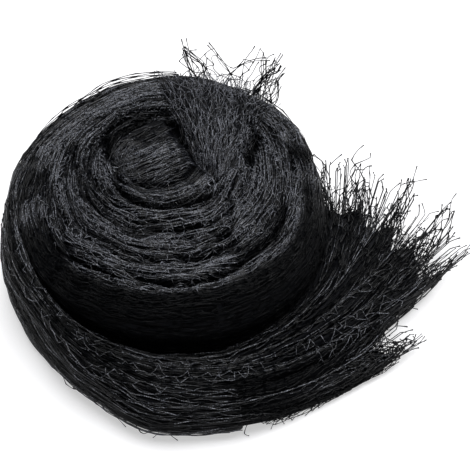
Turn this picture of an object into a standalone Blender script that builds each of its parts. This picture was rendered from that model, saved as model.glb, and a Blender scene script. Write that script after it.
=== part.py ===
"""Black bird netting, gathered lengthwise into a loose band and wound flat into one roll.

The roll is one solid: the wound turns, the knot of net in their middle and the lower,
wider outer turn along the front. Its two loose ends are solids of their own. The outer
end fans out over the floor on the right. The inner end lies over the top and its tufts
stand past the back rim. Metres, +Z up, floor at z = 0, angles in degrees from +X about
the axis of the winding.
"""

import math
from collections import namedtuple

import bmesh
import bpy
from mathutils import Vector, noise
from mathutils.bvhtree import BVHTree

# Where the axis of the winding stands, so that the whole heap is centred on the origin.
AXIS_X = -0.0732
AXIS_Y = 0.0700

GAP = 0.0003  # between two solids that touch
DRAPE_GAP = 0.0012  # under the inner end, where it bridges the turns below

# The winding.
SECTIONS = 76  # half sections round the axis
MAIN_TURNS = 4  # turns that stand apart, each of several fine ones
TURN_DEPTH = 0.0075  # of the furrow between two main turns
TURN_WANDER = 0.16  # how far a furrow strays, in turns
SURFACE_WANDER = 0.0035
AXIS_HEIGHT = 0.099  # of the turns if they ran on to the axis
SHOULDER = 0.022  # how far in the top starts to round over
WALL_BULGE = 0.004
BAND_WANDER = 0.14  # unevenness of the outer turn's width, as a share of it
KNOT_FURROW = 0.005  # depth of the fold across the knot at the axis
KNOT_FURROW_WIDTH = 0.007
KNOT_FURROW_TURN = 35.0
TOP_STEPS = 18
SHOULDER_STEPS = 3
WALL_STEPS = 3
CORE_STEPS = (0.009, 0.018, 0.026, 0.033, 0.039, 0.045, 0.053)

# The outer turn leaves the roll at this angle, and the outer end carries on from there.
LEAVE_ANGLE = 287.0
FIRST_ANGLE = LEAVE_ANGLE - 360.0

# One row a direction. rim: edge of the inner turns, height: their top at the rim,
# groove: bottom of the furrow outside them, width and crest: the outer turn past it.
Turn = namedtuple("Turn", "angle rim height groove width crest")
TURNS = (
    Turn(-73, 0.200, 0.106, 0.032, 0.000, 0.029),
    Turn(-58, 0.196, 0.105, 0.034, 0.000, 0.031),
    Turn(-43, 0.188, 0.103, 0.038, 0.001, 0.035),
    Turn(-27, 0.174, 0.101, 0.043, 0.001, 0.040),
    Turn(-12, 0.160, 0.100, 0.048, 0.002, 0.046),
    Turn(2, 0.151, 0.099, 0.056, 0.005, 0.056),
    Turn(20, 0.141, 0.098, 0.066, 0.009, 0.068),
    Turn(40, 0.127, 0.097, 0.078, 0.012, 0.082),
    Turn(60, 0.115, 0.096, 0.086, 0.015, 0.089),
    Turn(80, 0.108, 0.096, 0.087, 0.018, 0.091),
    Turn(100, 0.103, 0.096, 0.086, 0.018, 0.091),
    Turn(120, 0.101, 0.096, 0.086, 0.019, 0.092),
    Turn(140, 0.103, 0.096, 0.086, 0.020, 0.093),
    Turn(160, 0.109, 0.098, 0.087, 0.021, 0.095),
    Turn(180, 0.122, 0.099, 0.087, 0.024, 0.096),
    Turn(200, 0.141, 0.101, 0.086, 0.025, 0.095),
    Turn(218, 0.160, 0.103, 0.080, 0.024, 0.090),
    Turn(230, 0.174, 0.104, 0.066, 0.024, 0.080),
    Turn(242, 0.184, 0.105, 0.046, 0.031, 0.068),
    Turn(256, 0.192, 0.106, 0.035, 0.050, 0.060),
    Turn(270, 0.197, 0.106, 0.031, 0.069, 0.054),
    Turn(287, 0.200, 0.106, 0.032, 0.076, 0.048),
)

# Cross-section of the outer turn, from the furrow over its crest to the floor.
Band = namedtuple("Band", "across climb share")
BAND = (
    Band(0.08, 0.45, 1.00),
    Band(0.22, 0.85, 1.00),
    Band(0.42, 1.00, 1.00),
    Band(0.62, 1.00, 0.95),
    Band(0.80, 1.00, 0.80),
    Band(0.93, 1.00, 0.60),
    Band(1.00, 1.00, 0.36),
    Band(0.97, 1.00, 0.14),
    Band(0.90, 1.00, 0.00),
)

# The knot of net at the axis and the nest it sits in, as depths below the turns.
Nest = namedtuple("Nest", "radius drop")
NEST = (
    Nest(0.000, 0.007),
    Nest(0.010, 0.007),
    Nest(0.022, 0.008),
    Nest(0.033, 0.013),
    Nest(0.041, 0.022),
    Nest(0.048, 0.010),
    Nest(0.056, 0.001),
    Nest(0.066, 0.000),
)

# The outer end, from its floor edge to the roll. reach: how far a strand keeps the
# direction in which it leaves, tip: where it ends, crest and lift: its top half way and
# at the tip.
Strand = namedtuple("Strand", "place reach tip_x tip_y crest lift")
OUTER_STRANDS = (
    Strand(0.00, 0.080, 0.230, -0.165, 0.007, 0.004),
    Strand(0.10, 0.088, 0.252, -0.144, 0.017, 0.008),
    Strand(0.19, 0.096, 0.230, -0.098, 0.025, 0.010),
    Strand(0.32, 0.106, 0.288, -0.050, 0.032, 0.012),
    Strand(0.45, 0.112, 0.308, -0.022, 0.038, 0.018),
    Strand(0.60, 0.120, 0.272, 0.014, 0.042, 0.026),
    Strand(0.75, 0.128, 0.240, 0.040, 0.044, 0.034),
    Strand(0.88, 0.138, 0.202, 0.056, 0.044, 0.040),
    Strand(1.00, 0.150, 0.168, 0.058, 0.042, 0.042),
)
OUTER_STEPS = 16
OUTER_STRIPS = 32
OUTER_EDGE = 0.004  # least thickness
OUTER_PLEATS = 8
OUTER_PLEAT_DEPTH = 0.0035
OUTER_TUFTS = 10
OUTER_TUFT_SHARE = 0.10  # of a strand's length
OUTER_LIFTS_FROM = 0.55  # share of the length where the underside leaves the floor

# The inner end, left to right. It leaves the nest at start, crosses the rim at over and
# its tufts end at tip.
Fold = namedtuple("Fold", "place start_x start_y over_x over_y tip_x tip_y tip_z")
INNER_FOLDS = (
    Fold(0.00, 0.008, 0.060, 0.004, 0.112, 0.012, 0.130, 0.122),
    Fold(0.16, 0.015, 0.046, 0.030, 0.113, 0.024, 0.134, 0.132),
    Fold(0.34, 0.026, 0.030, 0.052, 0.110, 0.052, 0.130, 0.124),
    Fold(0.55, 0.038, 0.010, 0.078, 0.100, 0.084, 0.124, 0.132),
    Fold(0.72, 0.046, -0.006, 0.094, 0.091, 0.104, 0.110, 0.124),
    Fold(0.86, 0.052, -0.020, 0.107, 0.081, 0.118, 0.102, 0.134),
    Fold(1.00, 0.057, -0.032, 0.116, 0.068, 0.126, 0.084, 0.118),
)
INNER_STEPS = 15
INNER_STRIPS = 24
INNER_THICKNESS = 0.005
INNER_OVER = 0.72  # share of the length that lies on the roll
INNER_TUFTS = ((0.16, 0.11), (0.53, 0.13), (0.87, 0.12))  # place and half width of each
TUFT_THICKNESS = 0.004
CLEAR_REACH = 0.006  # how far round a point the drape looks for the highest turn

BLACK_TWINE = (0.012, 0.012, 0.014, 1.0)


def clear_scene():
    for item in list(bpy.data.objects):
        bpy.data.objects.remove(item)


def smooth(edge_low, edge_high, value):
    share = min(max((value - edge_low) / (edge_high - edge_low), 0.0), 1.0)
    return share * share * (3.0 - 2.0 * share)


def read(rows, column, at):
    """A column's value at this place, on a smooth curve through the rows."""
    last = len(rows) - 1
    low = max((i for i in range(last) if rows[i][0] <= at), default=0)
    high = low + 1

    def slope(i):
        before, after = max(i - 1, 0), min(i + 1, last)
        rise = getattr(rows[after], column) - getattr(rows[before], column)
        return rise / (rows[after][0] - rows[before][0])

    span = rows[high][0] - rows[low][0]
    t = min(max((at - rows[low][0]) / span, 0.0), 1.0)
    a, b = getattr(rows[low], column), getattr(rows[high], column)
    return (
        (2 * t**3 - 3 * t**2 + 1) * a
        + (t**3 - 2 * t**2 + t) * span * slope(low)
        + (3 * t**2 - 2 * t**3) * b
        + (t**3 - t**2) * span * slope(high)
    )


def on_plan(radius, angle):
    turn = math.radians(angle)
    return radius * math.cos(turn), radius * math.sin(turn)


def wander(radius, angle, scale):
    """Slow unevenness that closes on itself round the axis, between -1 and 1."""
    x, y = on_plan(radius, angle)
    return noise.noise(Vector((x / scale, y / scale, 0.37)))


def knot_furrow(radius, angle):
    """Depth of the curved fold that runs across the knot."""
    x, y = on_plan(radius, angle - KNOT_FURROW_TURN)
    off = (y - 0.3 * x * x / CORE_STEPS[-1]) / KNOT_FURROW_WIDTH
    return KNOT_FURROW * math.exp(-off * off) * (1.0 - smooth(CORE_STEPS[2], CORE_STEPS[4], radius))


def top_height(radius, angle):
    """Top of the wound turns: the spiral furrows, the nest and its knot."""
    rim = read(TURNS, "rim", angle)
    nest_edge = NEST[-1].radius
    out = (radius - CORE_STEPS[-1]) / (rim - CORE_STEPS[-1])
    phase = MAIN_TURNS * (1.0 - out) + angle / 360.0 + TURN_WANDER * wander(radius, angle, 0.045)
    furrow = 1.0 - math.sqrt(abs(math.cos(math.pi * phase)))
    fade = smooth(CORE_STEPS[-2], CORE_STEPS[-1] + 0.012, radius)
    drop = read(NEST, "drop", radius) if radius < nest_edge else 0.0
    drop += knot_furrow(radius, angle)
    uneven = SURFACE_WANDER * wander(radius, angle, 0.060)
    level = AXIS_HEIGHT + (read(TURNS, "height", angle) - AXIS_HEIGHT) * smooth(0.0, rim, radius)
    return level - drop - TURN_DEPTH * furrow * fade + uneven


def roll_section(angle):
    """(radius, height) points from beside the axis over the top, down the wall and over
    the outer turn to the floor, and how many of them come before the outer turn."""
    rim = read(TURNS, "rim", angle)
    groove = read(TURNS, "groove", angle)
    points = [(radius, top_height(radius, angle)) for radius in CORE_STEPS]
    for step in range(1, TOP_STEPS + 1):
        run = rim - SHOULDER - CORE_STEPS[-1]
        radius = CORE_STEPS[-1] + run * step / TOP_STEPS
        points.append((radius, top_height(radius, angle)))
    edge = points[-1][1]
    drop = min(SHOULDER, 0.35 * (edge - groove))
    for step in range(1, SHOULDER_STEPS + 1):
        bend = 0.5 * math.pi * step / SHOULDER_STEPS
        points.append((rim - SHOULDER * (1 - math.sin(bend)), edge - drop * (1 - math.cos(bend))))
    wall_top = points[-1][1]
    for step in range(1, WALL_STEPS + 1):
        share = step / WALL_STEPS
        bulge = WALL_BULGE * math.sin(math.pi * share) * smooth(0.0, 0.03, wall_top - groove)
        points.append((rim + bulge, wall_top + (groove - wall_top) * share))
    inner = len(points)
    width = read(TURNS, "width", angle)
    crest = read(TURNS, "crest", angle)
    for band in BAND:
        height = band.climb * band.share * crest + (1 - band.climb) * groove
        uneven = 1.0 + BAND_WANDER * wander(rim + height, angle, 0.05)
        points.append((rim + width * band.across * uneven, height))
    return points, inner


def finish_object(name, mesh_data, material):
    """Turns a bmesh in the winding's own frame into a named object in its place."""
    bmesh.ops.recalc_face_normals(mesh_data, faces=mesh_data.faces)
    mesh = bpy.data.meshes.new(name)
    mesh_data.to_mesh(mesh)
    mesh_data.free()
    mesh.shade_smooth()
    mesh.materials.append(material)
    made = bpy.data.objects.new(name, mesh)
    made.location = (AXIS_X, AXIS_Y, 0.0)
    bpy.context.scene.collection.objects.link(made)
    return made


def twine_material(name, roughness):
    material = bpy.data.materials.new(name)
    material.use_nodes = True
    shader = material.node_tree.nodes["Principled BSDF"]
    shader.inputs["Base Color"].default_value = BLACK_TWINE
    shader.inputs["Roughness"].default_value = roughness
    shader.inputs["Metallic"].default_value = 0.0
    return material


def wound_roll():
    """The winding as sections round its axis. The first and the last stand in one plane
    and share their points up to the furrow. Past it that plane is the cut through the
    outer turn."""
    roll = bmesh.new()
    pole = roll.verts.new((0.0, 0.0, top_height(0.0, FIRST_ANGLE)))
    rings = []
    for i in range(SECTIONS + 1):
        angle = FIRST_ANGLE + 360.0 * i / SECTIONS
        points, inner = roll_section(angle)
        shared = rings[0][:inner] if i == SECTIONS else []
        ring = list(shared)
        for radius, height in points[len(shared):]:
            ring.append(roll.verts.new((*on_plan(radius, angle), height)))
        rings.append(ring)
    for this, after in zip(rings, rings[1:]):
        roll.faces.new((pole, this[0], after[0]))
        for low, high in zip(range(len(this)), range(1, len(this))):
            roll.faces.new((this[low], this[high], after[high], after[low]))
    cut = rings[-1][inner - 1:] + rings[0][:inner - 1:-1]
    roll.faces.new(cut)
    roll.faces.new([ring[-1] for ring in rings])
    return roll


def closed_sheet(top, under):
    """One closed solid between two grids of points of the same size."""
    sheet = bmesh.new()
    tops = [[sheet.verts.new(point) for point in row] for row in top]
    unders = [[sheet.verts.new(point) for point in row] for row in under]
    for i in range(len(top) - 1):
        for j in range(len(top[0]) - 1):
            for grid in (tops, unders):
                sheet.faces.new((grid[i][j], grid[i + 1][j], grid[i + 1][j + 1], grid[i][j + 1]))

    def border(grid):
        near, far = grid[0], grid[-1]
        left = [row[0] for row in grid[1:-1]]
        right = [row[-1] for row in grid[1:-1]]
        return near + right + far[::-1] + left[::-1]

    upper, lower = border(tops), border(unders)
    for k in range(len(upper)):
        after = (k + 1) % len(upper)
        sheet.faces.new((upper[k], upper[after], lower[after], lower[k]))
    return sheet


def band_height(across):
    """Top of the outer turn at the cut, by its share of the width outwards."""
    groove, crest = TURNS[-1].groove, TURNS[-1].crest
    before = Band(0.0, 0.0, 0.0)
    for band in BAND:
        if band.across >= across:
            part = (across - before.across) / (band.across - before.across)
            low = before.climb * before.share * crest + (1 - before.climb) * groove
            high = band.climb * band.share * crest + (1 - band.climb) * groove
            return low + (high - low) * part
        before = band
    return before.share * crest


def outer_end_point(place, along):
    """(x, y, top, underside) of the fanned outer end. place runs from its floor edge to
    the roll, along from the cut to the tips."""
    leave = math.radians(LEAVE_ANGLE)
    outwards = Vector((math.cos(leave), math.sin(leave)))
    onwards = Vector((-math.sin(leave), math.cos(leave)))
    across = 1.0 - place
    radius = TURNS[-1].rim + 5 * GAP + (TURNS[-1].width - 5 * GAP) * across
    start = outwards * radius + onwards * GAP
    bend = start + onwards * read(OUTER_STRANDS, "reach", place)
    tip = Vector((read(OUTER_STRANDS, "tip_x", place), read(OUTER_STRANDS, "tip_y", place)))
    ragged = abs(math.sin(math.pi * OUTER_TUFTS * (place + 0.04 * math.sin(9.0 * place))))
    s = along * (1.0 - OUTER_TUFT_SHARE * ragged)
    spot = start * (1 - s) ** 2 + bend * 2 * s * (1 - s) + tip * s**2
    crest = read(OUTER_STRANDS, "crest", place)
    lift = read(OUTER_STRANDS, "lift", place)
    begin = band_height(across)
    middle = 2 * crest - 0.5 * (begin + lift)
    top = begin * (1 - s) ** 2 + middle * 2 * s * (1 - s) + lift * s**2
    pleat = math.cos(2 * math.pi * OUTER_PLEATS * place + 3.0 * s)
    top += OUTER_PLEAT_DEPTH * pleat * smooth(0.0, 0.25, s) * smooth(0.0, 0.15, place)
    top = max(top, OUTER_EDGE)
    under = (lift - OUTER_EDGE) * smooth(OUTER_LIFTS_FROM, 1.0, s)
    return spot.x, spot.y, top, max(min(under, top - OUTER_EDGE), 0.0)


def outer_end():
    top, under = [], []
    for i in range(OUTER_STEPS + 1):
        row = [outer_end_point(j / OUTER_STRIPS, i / OUTER_STEPS) for j in range(OUTER_STRIPS + 1)]
        top.append([(x, y, high) for x, y, high, low in row])
        under.append([(x, y, low) for x, y, high, low in row])
    return closed_sheet(top, under)


def highest_below(tree, x, y):
    """Highest point of the roll close round this place, from above."""
    best = 0.0
    for dx in (-1, 0, 1):
        for dy in (-1, 0, 1):
            start = Vector((x + dx * CLEAR_REACH, y + dy * CLEAR_REACH, 1.0))
            hit = tree.ray_cast(start, Vector((0.0, 0.0, -1.0)))[0]
            if hit:
                best = max(best, hit.z)
    return best


def tuft_length(place):
    """How far a strip of the inner end runs past the rim, from 0 to 1."""
    reach = 0.0
    for middle, half in INNER_TUFTS:
        off = abs(place - middle) / half
        reach = max(reach, 1.0 - smooth(0.35, 1.0, off))
    return 0.12 + 0.88 * reach


def inner_end_point(tree, place, along):
    """(top, underside) points of the inner end. It lies on the turns as far as the rim,
    and past it its tufts stand up and out."""
    start = Vector((read(INNER_FOLDS, "start_x", place), read(INNER_FOLDS, "start_y", place)))
    over = Vector((read(INNER_FOLDS, "over_x", place), read(INNER_FOLDS, "over_y", place)))
    tip = Vector([read(INNER_FOLDS, column, place) for column in ("tip_x", "tip_y", "tip_z")])
    rim_low = highest_below(tree, over.x, over.y) + DRAPE_GAP
    if along <= INNER_OVER:
        spot = start.lerp(over, along / INNER_OVER)
        low = highest_below(tree, spot.x, spot.y) + DRAPE_GAP
        fold = 0.5 + 0.5 * math.cos(2 * math.pi * (3.4 * place + 0.5 * along))
        thick = INNER_THICKNESS * (0.75 + 0.5 * fold)
        return (spot.x, spot.y, low + thick), (spot.x, spot.y, low)
    past = (along - INNER_OVER) / (1.0 - INNER_OVER) * tuft_length(place)
    rim = Vector((over.x, over.y, rim_low))
    low = rim.lerp(tip, past)
    out = Vector((over.x, over.y, 0.0)).normalized()
    normal = (Vector((0.0, 0.0, 1.0)) - out * 0.5 * past).normalized()
    thick = INNER_THICKNESS + (TUFT_THICKNESS - INNER_THICKNESS) * past
    return tuple(low + normal * thick), tuple(low)


def inner_end(roll):
    tree = BVHTree.FromBMesh(roll)
    top, under = [], []
    for i in range(INNER_STEPS + 1):
        pairs = []
        for j in range(INNER_STRIPS + 1):
            pairs.append(inner_end_point(tree, j / INNER_STRIPS, i / INNER_STEPS))
        top.append([pair[0] for pair in pairs])
        under.append([pair[1] for pair in pairs])
    return closed_sheet(top, under)


clear_scene()
winding = wound_roll()
draped = inner_end(winding)
finish_object("net_roll", winding, twine_material("wound_netting", 0.5))
finish_object("outer_end", outer_end(), twine_material("outer_end_netting", 0.48))
finish_object("inner_end", draped, twine_material("inner_end_netting", 0.52))
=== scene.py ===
import math

import bmesh
import bpy
import numpy as np
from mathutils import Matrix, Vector, noise


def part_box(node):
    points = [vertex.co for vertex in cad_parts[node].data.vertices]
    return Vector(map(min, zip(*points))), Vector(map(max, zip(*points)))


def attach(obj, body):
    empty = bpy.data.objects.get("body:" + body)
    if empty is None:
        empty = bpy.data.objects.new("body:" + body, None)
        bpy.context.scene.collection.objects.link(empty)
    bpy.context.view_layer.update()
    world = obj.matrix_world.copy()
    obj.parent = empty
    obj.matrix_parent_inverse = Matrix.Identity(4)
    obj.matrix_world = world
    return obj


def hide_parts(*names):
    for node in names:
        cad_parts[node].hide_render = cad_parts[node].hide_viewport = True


# Black bird netting, wound flat into one roll, with a loose end fanned out on the right and
# another over the top. Metres, +Z up. Angles are degrees from +X round the winding's axis.

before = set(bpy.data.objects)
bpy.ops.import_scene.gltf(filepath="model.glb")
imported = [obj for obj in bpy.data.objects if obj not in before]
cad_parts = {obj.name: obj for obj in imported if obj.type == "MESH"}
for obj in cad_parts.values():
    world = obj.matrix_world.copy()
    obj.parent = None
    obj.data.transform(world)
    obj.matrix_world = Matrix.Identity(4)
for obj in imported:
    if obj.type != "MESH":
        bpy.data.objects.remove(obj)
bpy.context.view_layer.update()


def smooth(low, high, value):
    share = np.clip((value - low) / (high - low), 0.0, 1.0)
    return share * share * (3.0 - 2.0 * share)


def readColumn(table, key, name, at):
    # one column of a table on a smooth curve through its rows
    keys = np.array(table[key], float)
    values = np.array(table[name], float)
    at = np.asarray(at, float)
    before = np.maximum(np.arange(len(keys)) - 1, 0)
    after = np.minimum(np.arange(len(keys)) + 1, len(keys) - 1)
    slopes = (values[after] - values[before]) / (keys[after] - keys[before])
    low = np.clip(np.searchsorted(keys, at, side="right") - 1, 0, len(keys) - 2)
    span = keys[low + 1] - keys[low]
    t = np.clip((at - keys[low]) / span, 0.0, 1.0)
    return ((2 * t**3 - 3 * t**2 + 1) * values[low] + (t**3 - 2 * t**2 + t) * span * slopes[low]
            + (3 * t**2 - 2 * t**3) * values[low + 1] + (t**3 - t**2) * span * slopes[low + 1])


def rowsOf(table):
    # the rows of a table, each with its columns by name
    return [dict(zip(table["columns"], row)) for row in table["rows"]]


def toMetres(table, *names):
    # the listed tables are in millimetres
    for name in names:
        table[name] = [size / 1000.0 for size in table[name]]


def wander(x, y, scale, level=0.37):
    # slow unevenness over the plan, between -1 and 1
    x, y = np.broadcast_arrays(np.asarray(x, float), np.asarray(y, float))
    level = np.broadcast_to(np.asarray(level, float), x.shape)
    spots = zip((x / scale).ravel(), (y / scale).ravel(), level.ravel())
    return np.array([noise.noise(spot) for spot in spots]).reshape(x.shape)


def linearColour(code):
    parts = [int(code[i:i + 2], 16) / 255.0 for i in (1, 3, 5)]
    return [part / 12.92 if part <= 0.04045 else ((part + 0.055) / 1.055) ** 2.4 for part in parts] + [1.0]


def addNode(tree, kind, settings=None, inputs=None, links=None):
    # settings are the node's own, inputs are values by socket name, links are (output, socket name)
    node = tree.nodes.new("ShaderNode" + kind)
    for name, value in (settings or {}).items():
        setattr(node, name, value)
    for name, value in (inputs or {}).items():
        node.inputs[name].default_value = value
    for name, output in (links or {}).items():
        tree.links.new(output, node.inputs[name])
    return node


def normalsOf(points):
    along = np.gradient(points, axis=0)
    across = np.gradient(points, axis=1)
    normal = np.cross(across, along)
    normal *= np.sign(normal[..., 2].sum())  # outwards is upwards on the whole
    size = np.linalg.norm(normal, axis=2, keepdims=True)
    return np.where(size > 1e-12, normal / np.maximum(size, 1e-12), (0.0, 0.0, 1.0))


def gridAt(grid, row, column):
    # a grid's value at a share of its rows and of its columns
    rows, columns = grid.shape[0] - 1, grid.shape[1] - 1
    u = np.clip(row, 0.0, 1.0) * rows
    v = np.clip(column, 0.0, 1.0) * columns
    i = np.minimum(u.astype(int), rows - 1)
    j = np.minimum(v.astype(int), columns - 1)
    s, t = u - i, v - j
    if grid.ndim == 3:
        s, t = s[..., None], t[..., None]
    low = grid[i, j] * (1 - s) + grid[i + 1, j] * s
    high = grid[i, j + 1] * (1 - s) + grid[i + 1, j + 1] * s
    return low * (1 - t) + high * t


def layOn(surface, row, column, lift):
    # a place on a surface, lifted off it
    spots, normals = (gridAt(surface[name], row, column) for name in ("points", "normals"))
    return spots + normals * np.asarray(lift)[..., None]


def startMaterial(name, roughness):
    material = bpy.data.materials.new(name)
    material.use_nodes = True
    shader = material.node_tree.nodes["Principled BSDF"]
    shader.inputs["Roughness"].default_value = roughness
    return material, material.node_tree, shader


studio = {
    "lens": 150.0, "elevation": 50.0, "distance": 1.96, "aim": (0.0, 0.0376, 0.0148),
    "sunStrength": 4.9, "sunSpread": 66.0, "sunTilt": (-20.0, 9.0), "skyStrength": 0.10,
    "floorSize": 12.0, "floorColour": "#c2c2c4", "floorGlow": 0.52,
}


def makeStudio():
    scene = bpy.context.scene
    scene.view_settings.view_transform = "Standard"
    turn = math.radians(studio["elevation"])
    aim = Vector(studio["aim"])
    back = Vector((0.0, -math.cos(turn), math.sin(turn)))
    lens = bpy.data.cameras.new("studioCamera")
    lens.lens = studio["lens"]
    lens.sensor_width = 36.0
    camera = bpy.data.objects.new("studioCamera", lens)
    camera.location = aim + back * studio["distance"]
    camera.rotation_euler = (-back).to_track_quat("-Z", "Y").to_euler()
    scene.collection.objects.link(camera)
    scene.camera = camera

    # one broad overhead softbox, a little behind the roll
    light = bpy.data.lights.new("overheadSoftbox", "SUN")
    light.energy = studio["sunStrength"]
    light.angle = math.radians(studio["sunSpread"])
    lamp = bpy.data.objects.new("overheadSoftbox", light)
    lamp.rotation_euler = [math.radians(tilt) for tilt in (*studio["sunTilt"], 0.0)]
    scene.collection.objects.link(lamp)

    sky = bpy.data.worlds.new("studioSky")
    sky.use_nodes = True
    sky.node_tree.nodes["Background"].inputs["Color"].default_value = linearColour("#fbfbff")
    sky.node_tree.nodes["Background"].inputs["Strength"].default_value = studio["skyStrength"]
    scene.world = sky

    plane = bmesh.new()
    bmesh.ops.create_grid(plane, x_segments=1, y_segments=1, size=studio["floorSize"] / 2)
    mesh = bpy.data.meshes.new("studioFloor")
    plane.to_mesh(mesh)
    plane.free()
    # a translucent white acrylic table, matt above and lit from below, so that shadows stay pale
    paint, _, shader = startMaterial("mattWhiteAcrylic", 0.9)
    shader.inputs["Base Color"].default_value = linearColour(studio["floorColour"])
    shader.inputs["Specular IOR Level"].default_value = 0.0
    shader.inputs["Emission Color"].default_value = linearColour("#ffffff")
    shader.inputs["Emission Strength"].default_value = studio["floorGlow"]
    mesh.materials.append(paint)
    floor = bpy.data.objects.new("studioFloor", mesh)
    scene.collection.objects.link(floor)


makeStudio()
print("studio made")

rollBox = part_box("net_roll")
axisX = rollBox[0].x + 0.1547  # how far the axis stands in from the roll's left side
axisY = rollBox[1].y - 0.1250  # and in front of its back

roll = {
    "coreEdge": 0.053, "axisHeight": 0.099, "shoulder": 0.022, "wallBulge": 0.003, "bunchDepth": 0.0022,
    "mainTurns": 4, "mainDepth": 0.0045, "fineTurns": 13, "fineDepth": 0.0050, "skin": 0.0012,
    "paintedShadeDepth": 0.0048,  # painted shade: a strand in a furrow this deep is painted a third as pale as on the top
    "firstAngle": -73.0, "leaveAngle": 287.0,  # where the outer turn begins, and where it leaves the roll
    "sections": 380,
    # grid rings in the core, the top, the shoulder, the wall and the outer turn
    "rings": (24, 104, 10, 14, 24),
}

# rim: edge of the inner turns, height: their top there, groove: foot of the furrow outside
# them, width and crest: the outer turn past it
turns = {
    "angle": (-73, -58, -43, -27, -12, 2, 20, 40, 60, 80, 100, 120, 140, 160, 180, 200, 218, 230, 242, 256,
              270, 287),
    "rim": (200, 196, 188, 174, 160, 151, 141, 127, 115, 108, 103, 101, 103, 109, 122, 141, 160, 174,
            184, 192, 197, 200),
    "height": (106, 105, 103, 101, 100, 99, 98, 97, 96, 96, 96, 96, 96, 98, 99, 101, 103, 104, 105, 106,
               106, 106),
    "groove": (32, 34, 38, 43, 48, 56, 66, 78, 86, 87, 86, 86, 86, 87, 87, 86, 80, 66, 46, 35, 31, 32),
    "width": (0, 0, 1, 1, 2, 5, 9, 12, 15, 18, 18, 19, 20, 21, 24, 25, 24, 24, 31, 50, 69, 76),
    "crest": (29, 31, 35, 40, 46, 56, 68, 82, 89, 91, 91, 92, 93, 95, 96, 95, 90, 80, 68, 60, 54, 48),
}
toMetres(turns, "rim", "height", "groove", "width", "crest")

# cross-section of the outer turn, from the furrow over its crest to the floor
band = {
    "step": (0, 1, 2, 3, 4, 5, 6, 7, 8, 9),
    "across": (0.0, 0.08, 0.22, 0.42, 0.62, 0.80, 0.93, 1.00, 0.97, 0.90),
    "climb": (0.0, 0.45, 0.85, 1.0, 1.0, 1.0, 1.0, 1.0, 1.0, 1.0),
    "share": (1.0, 1.0, 1.0, 1.0, 0.95, 0.80, 0.60, 0.36, 0.14, 0.0),
}

# the knot of net at the axis and the nest it sits in, as depths below the turns
nest = {
    "radius": (0, 10, 22, 33, 41, 48, 56, 66),
    "drop": (6, 6, 7, 9, 10, 6, 1, 0),
}
toMetres(nest, "radius", "drop")


def turnsAt(angle, *names):
    # the winding's sizes in one direction or more
    sizes = [readColumn(turns, "angle", name, angle) for name in names]
    return sizes if len(sizes) > 1 else sizes[0]


def bandUneven(angles, reach):
    # the outer turn's width wavers, but it runs straight into the outer end
    turn, calm = np.radians(angles), 1.0 - smooth(262.0, 284.0, angles)
    return 1.0 + 0.14 * calm * wander(reach * np.cos(turn), reach * np.sin(turn), 0.05)


# Furrows laid across the turns. Angles are where each begins and ends, nearBegin and
# nearEnd its radius there, bow how far its middle stands outwards. Lengths in millimetres, and a ridge
# has a depth below zero.
folds = {
    "columns": ("begin", "end", "nearBegin", "nearEnd", "bow", "width", "depth"),
    "rows": (
        (200, 78, 43, 58, 4, 4.2, 10.0),  # left of the knot and over it
        (85, -30, 55, 65, -28, 5.0, 14.0),  # down the knot's right, along the inner end
        (-165, -35, 46, 72, 4, 4.5, 12.0),  # under the knot
        (25, -165, 30, 34, 2, 3.0, 7.0),
        (165, 75, 28, 24, 0, 2.5, 4.0),
        (-150, -40, 44, 54, -3, 2.5, 5.0),
        (30, -5, 100, 85, 0, 7.0, 11.0),  # beside the inner end
        (35, -10, 122, 133, 0, 4.0, 10.0),
        (-36, -64, 80, 130, 6, 3.0, 8.0),  # the seam
        (-25, -80, 132, 168, 6, 5.0, 15.0),  # the great furrow at the front right
        (-82, -60, 130, 140, 4, 3.5, 9.0),
        (-77, -56, 113, 122, 3, 3.0, 7.0),
        (-100, -78, 152, 172, 4, 3.5, 10.0),
        (-150, -92, 80, 106, 6, 2.6, 7.0),
        (-133, -100, 134, 160, 8, 3.0, 8.0),
        (170, 222, 82, 92, -2, 2.6, 7.0),
        (-110, -66, 90, 102, 0, 2.6, 6.0),
        (148, 246, 62, 80, -2, 2.6, 8.0),
        (142, 228, 84, 126, 2, 3.0, 8.0),
        (110, 178, 68, 54, 0, 4.0, 9.0),
        (-130, -80, 78, 86, 0, 2.4, 6.0),
        (160, 214, 96, 126, 4, 3.0, 7.0),
        (-123, -85, 128, 140, 3, 2.6, 7.0),
        (208, 240, 128, 158, 4, 3.0, 8.0),
        (-112, -40, 168, 170, 16, 7.0, -6.0),  # the ridge along the front rim
        (-165, -52, 38, 50, 1, 5.0, -3.6),  # the lip under the knot
        (-168, -24, 43, 58, 1, 2.0, 5.0),
        (-150, -34, 50, 62, 0, 1.8, 4.0),
        (-36, -56, 88, 134, 4, 5.0, -3.0),
    ),
}


def smoothPath(corners, count):
    # a smooth curve through a few places, evenly sampled by their number
    corners = np.array(corners, float)
    table = {str(axis): corners[:, axis] for axis in range(corners.shape[1])}
    table["at"] = np.arange(len(corners))
    at = np.linspace(0.0, len(corners) - 1.0, count)
    return np.stack([readColumn(table, "at", str(axis), at) for axis in range(corners.shape[1])], axis=1)


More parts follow.
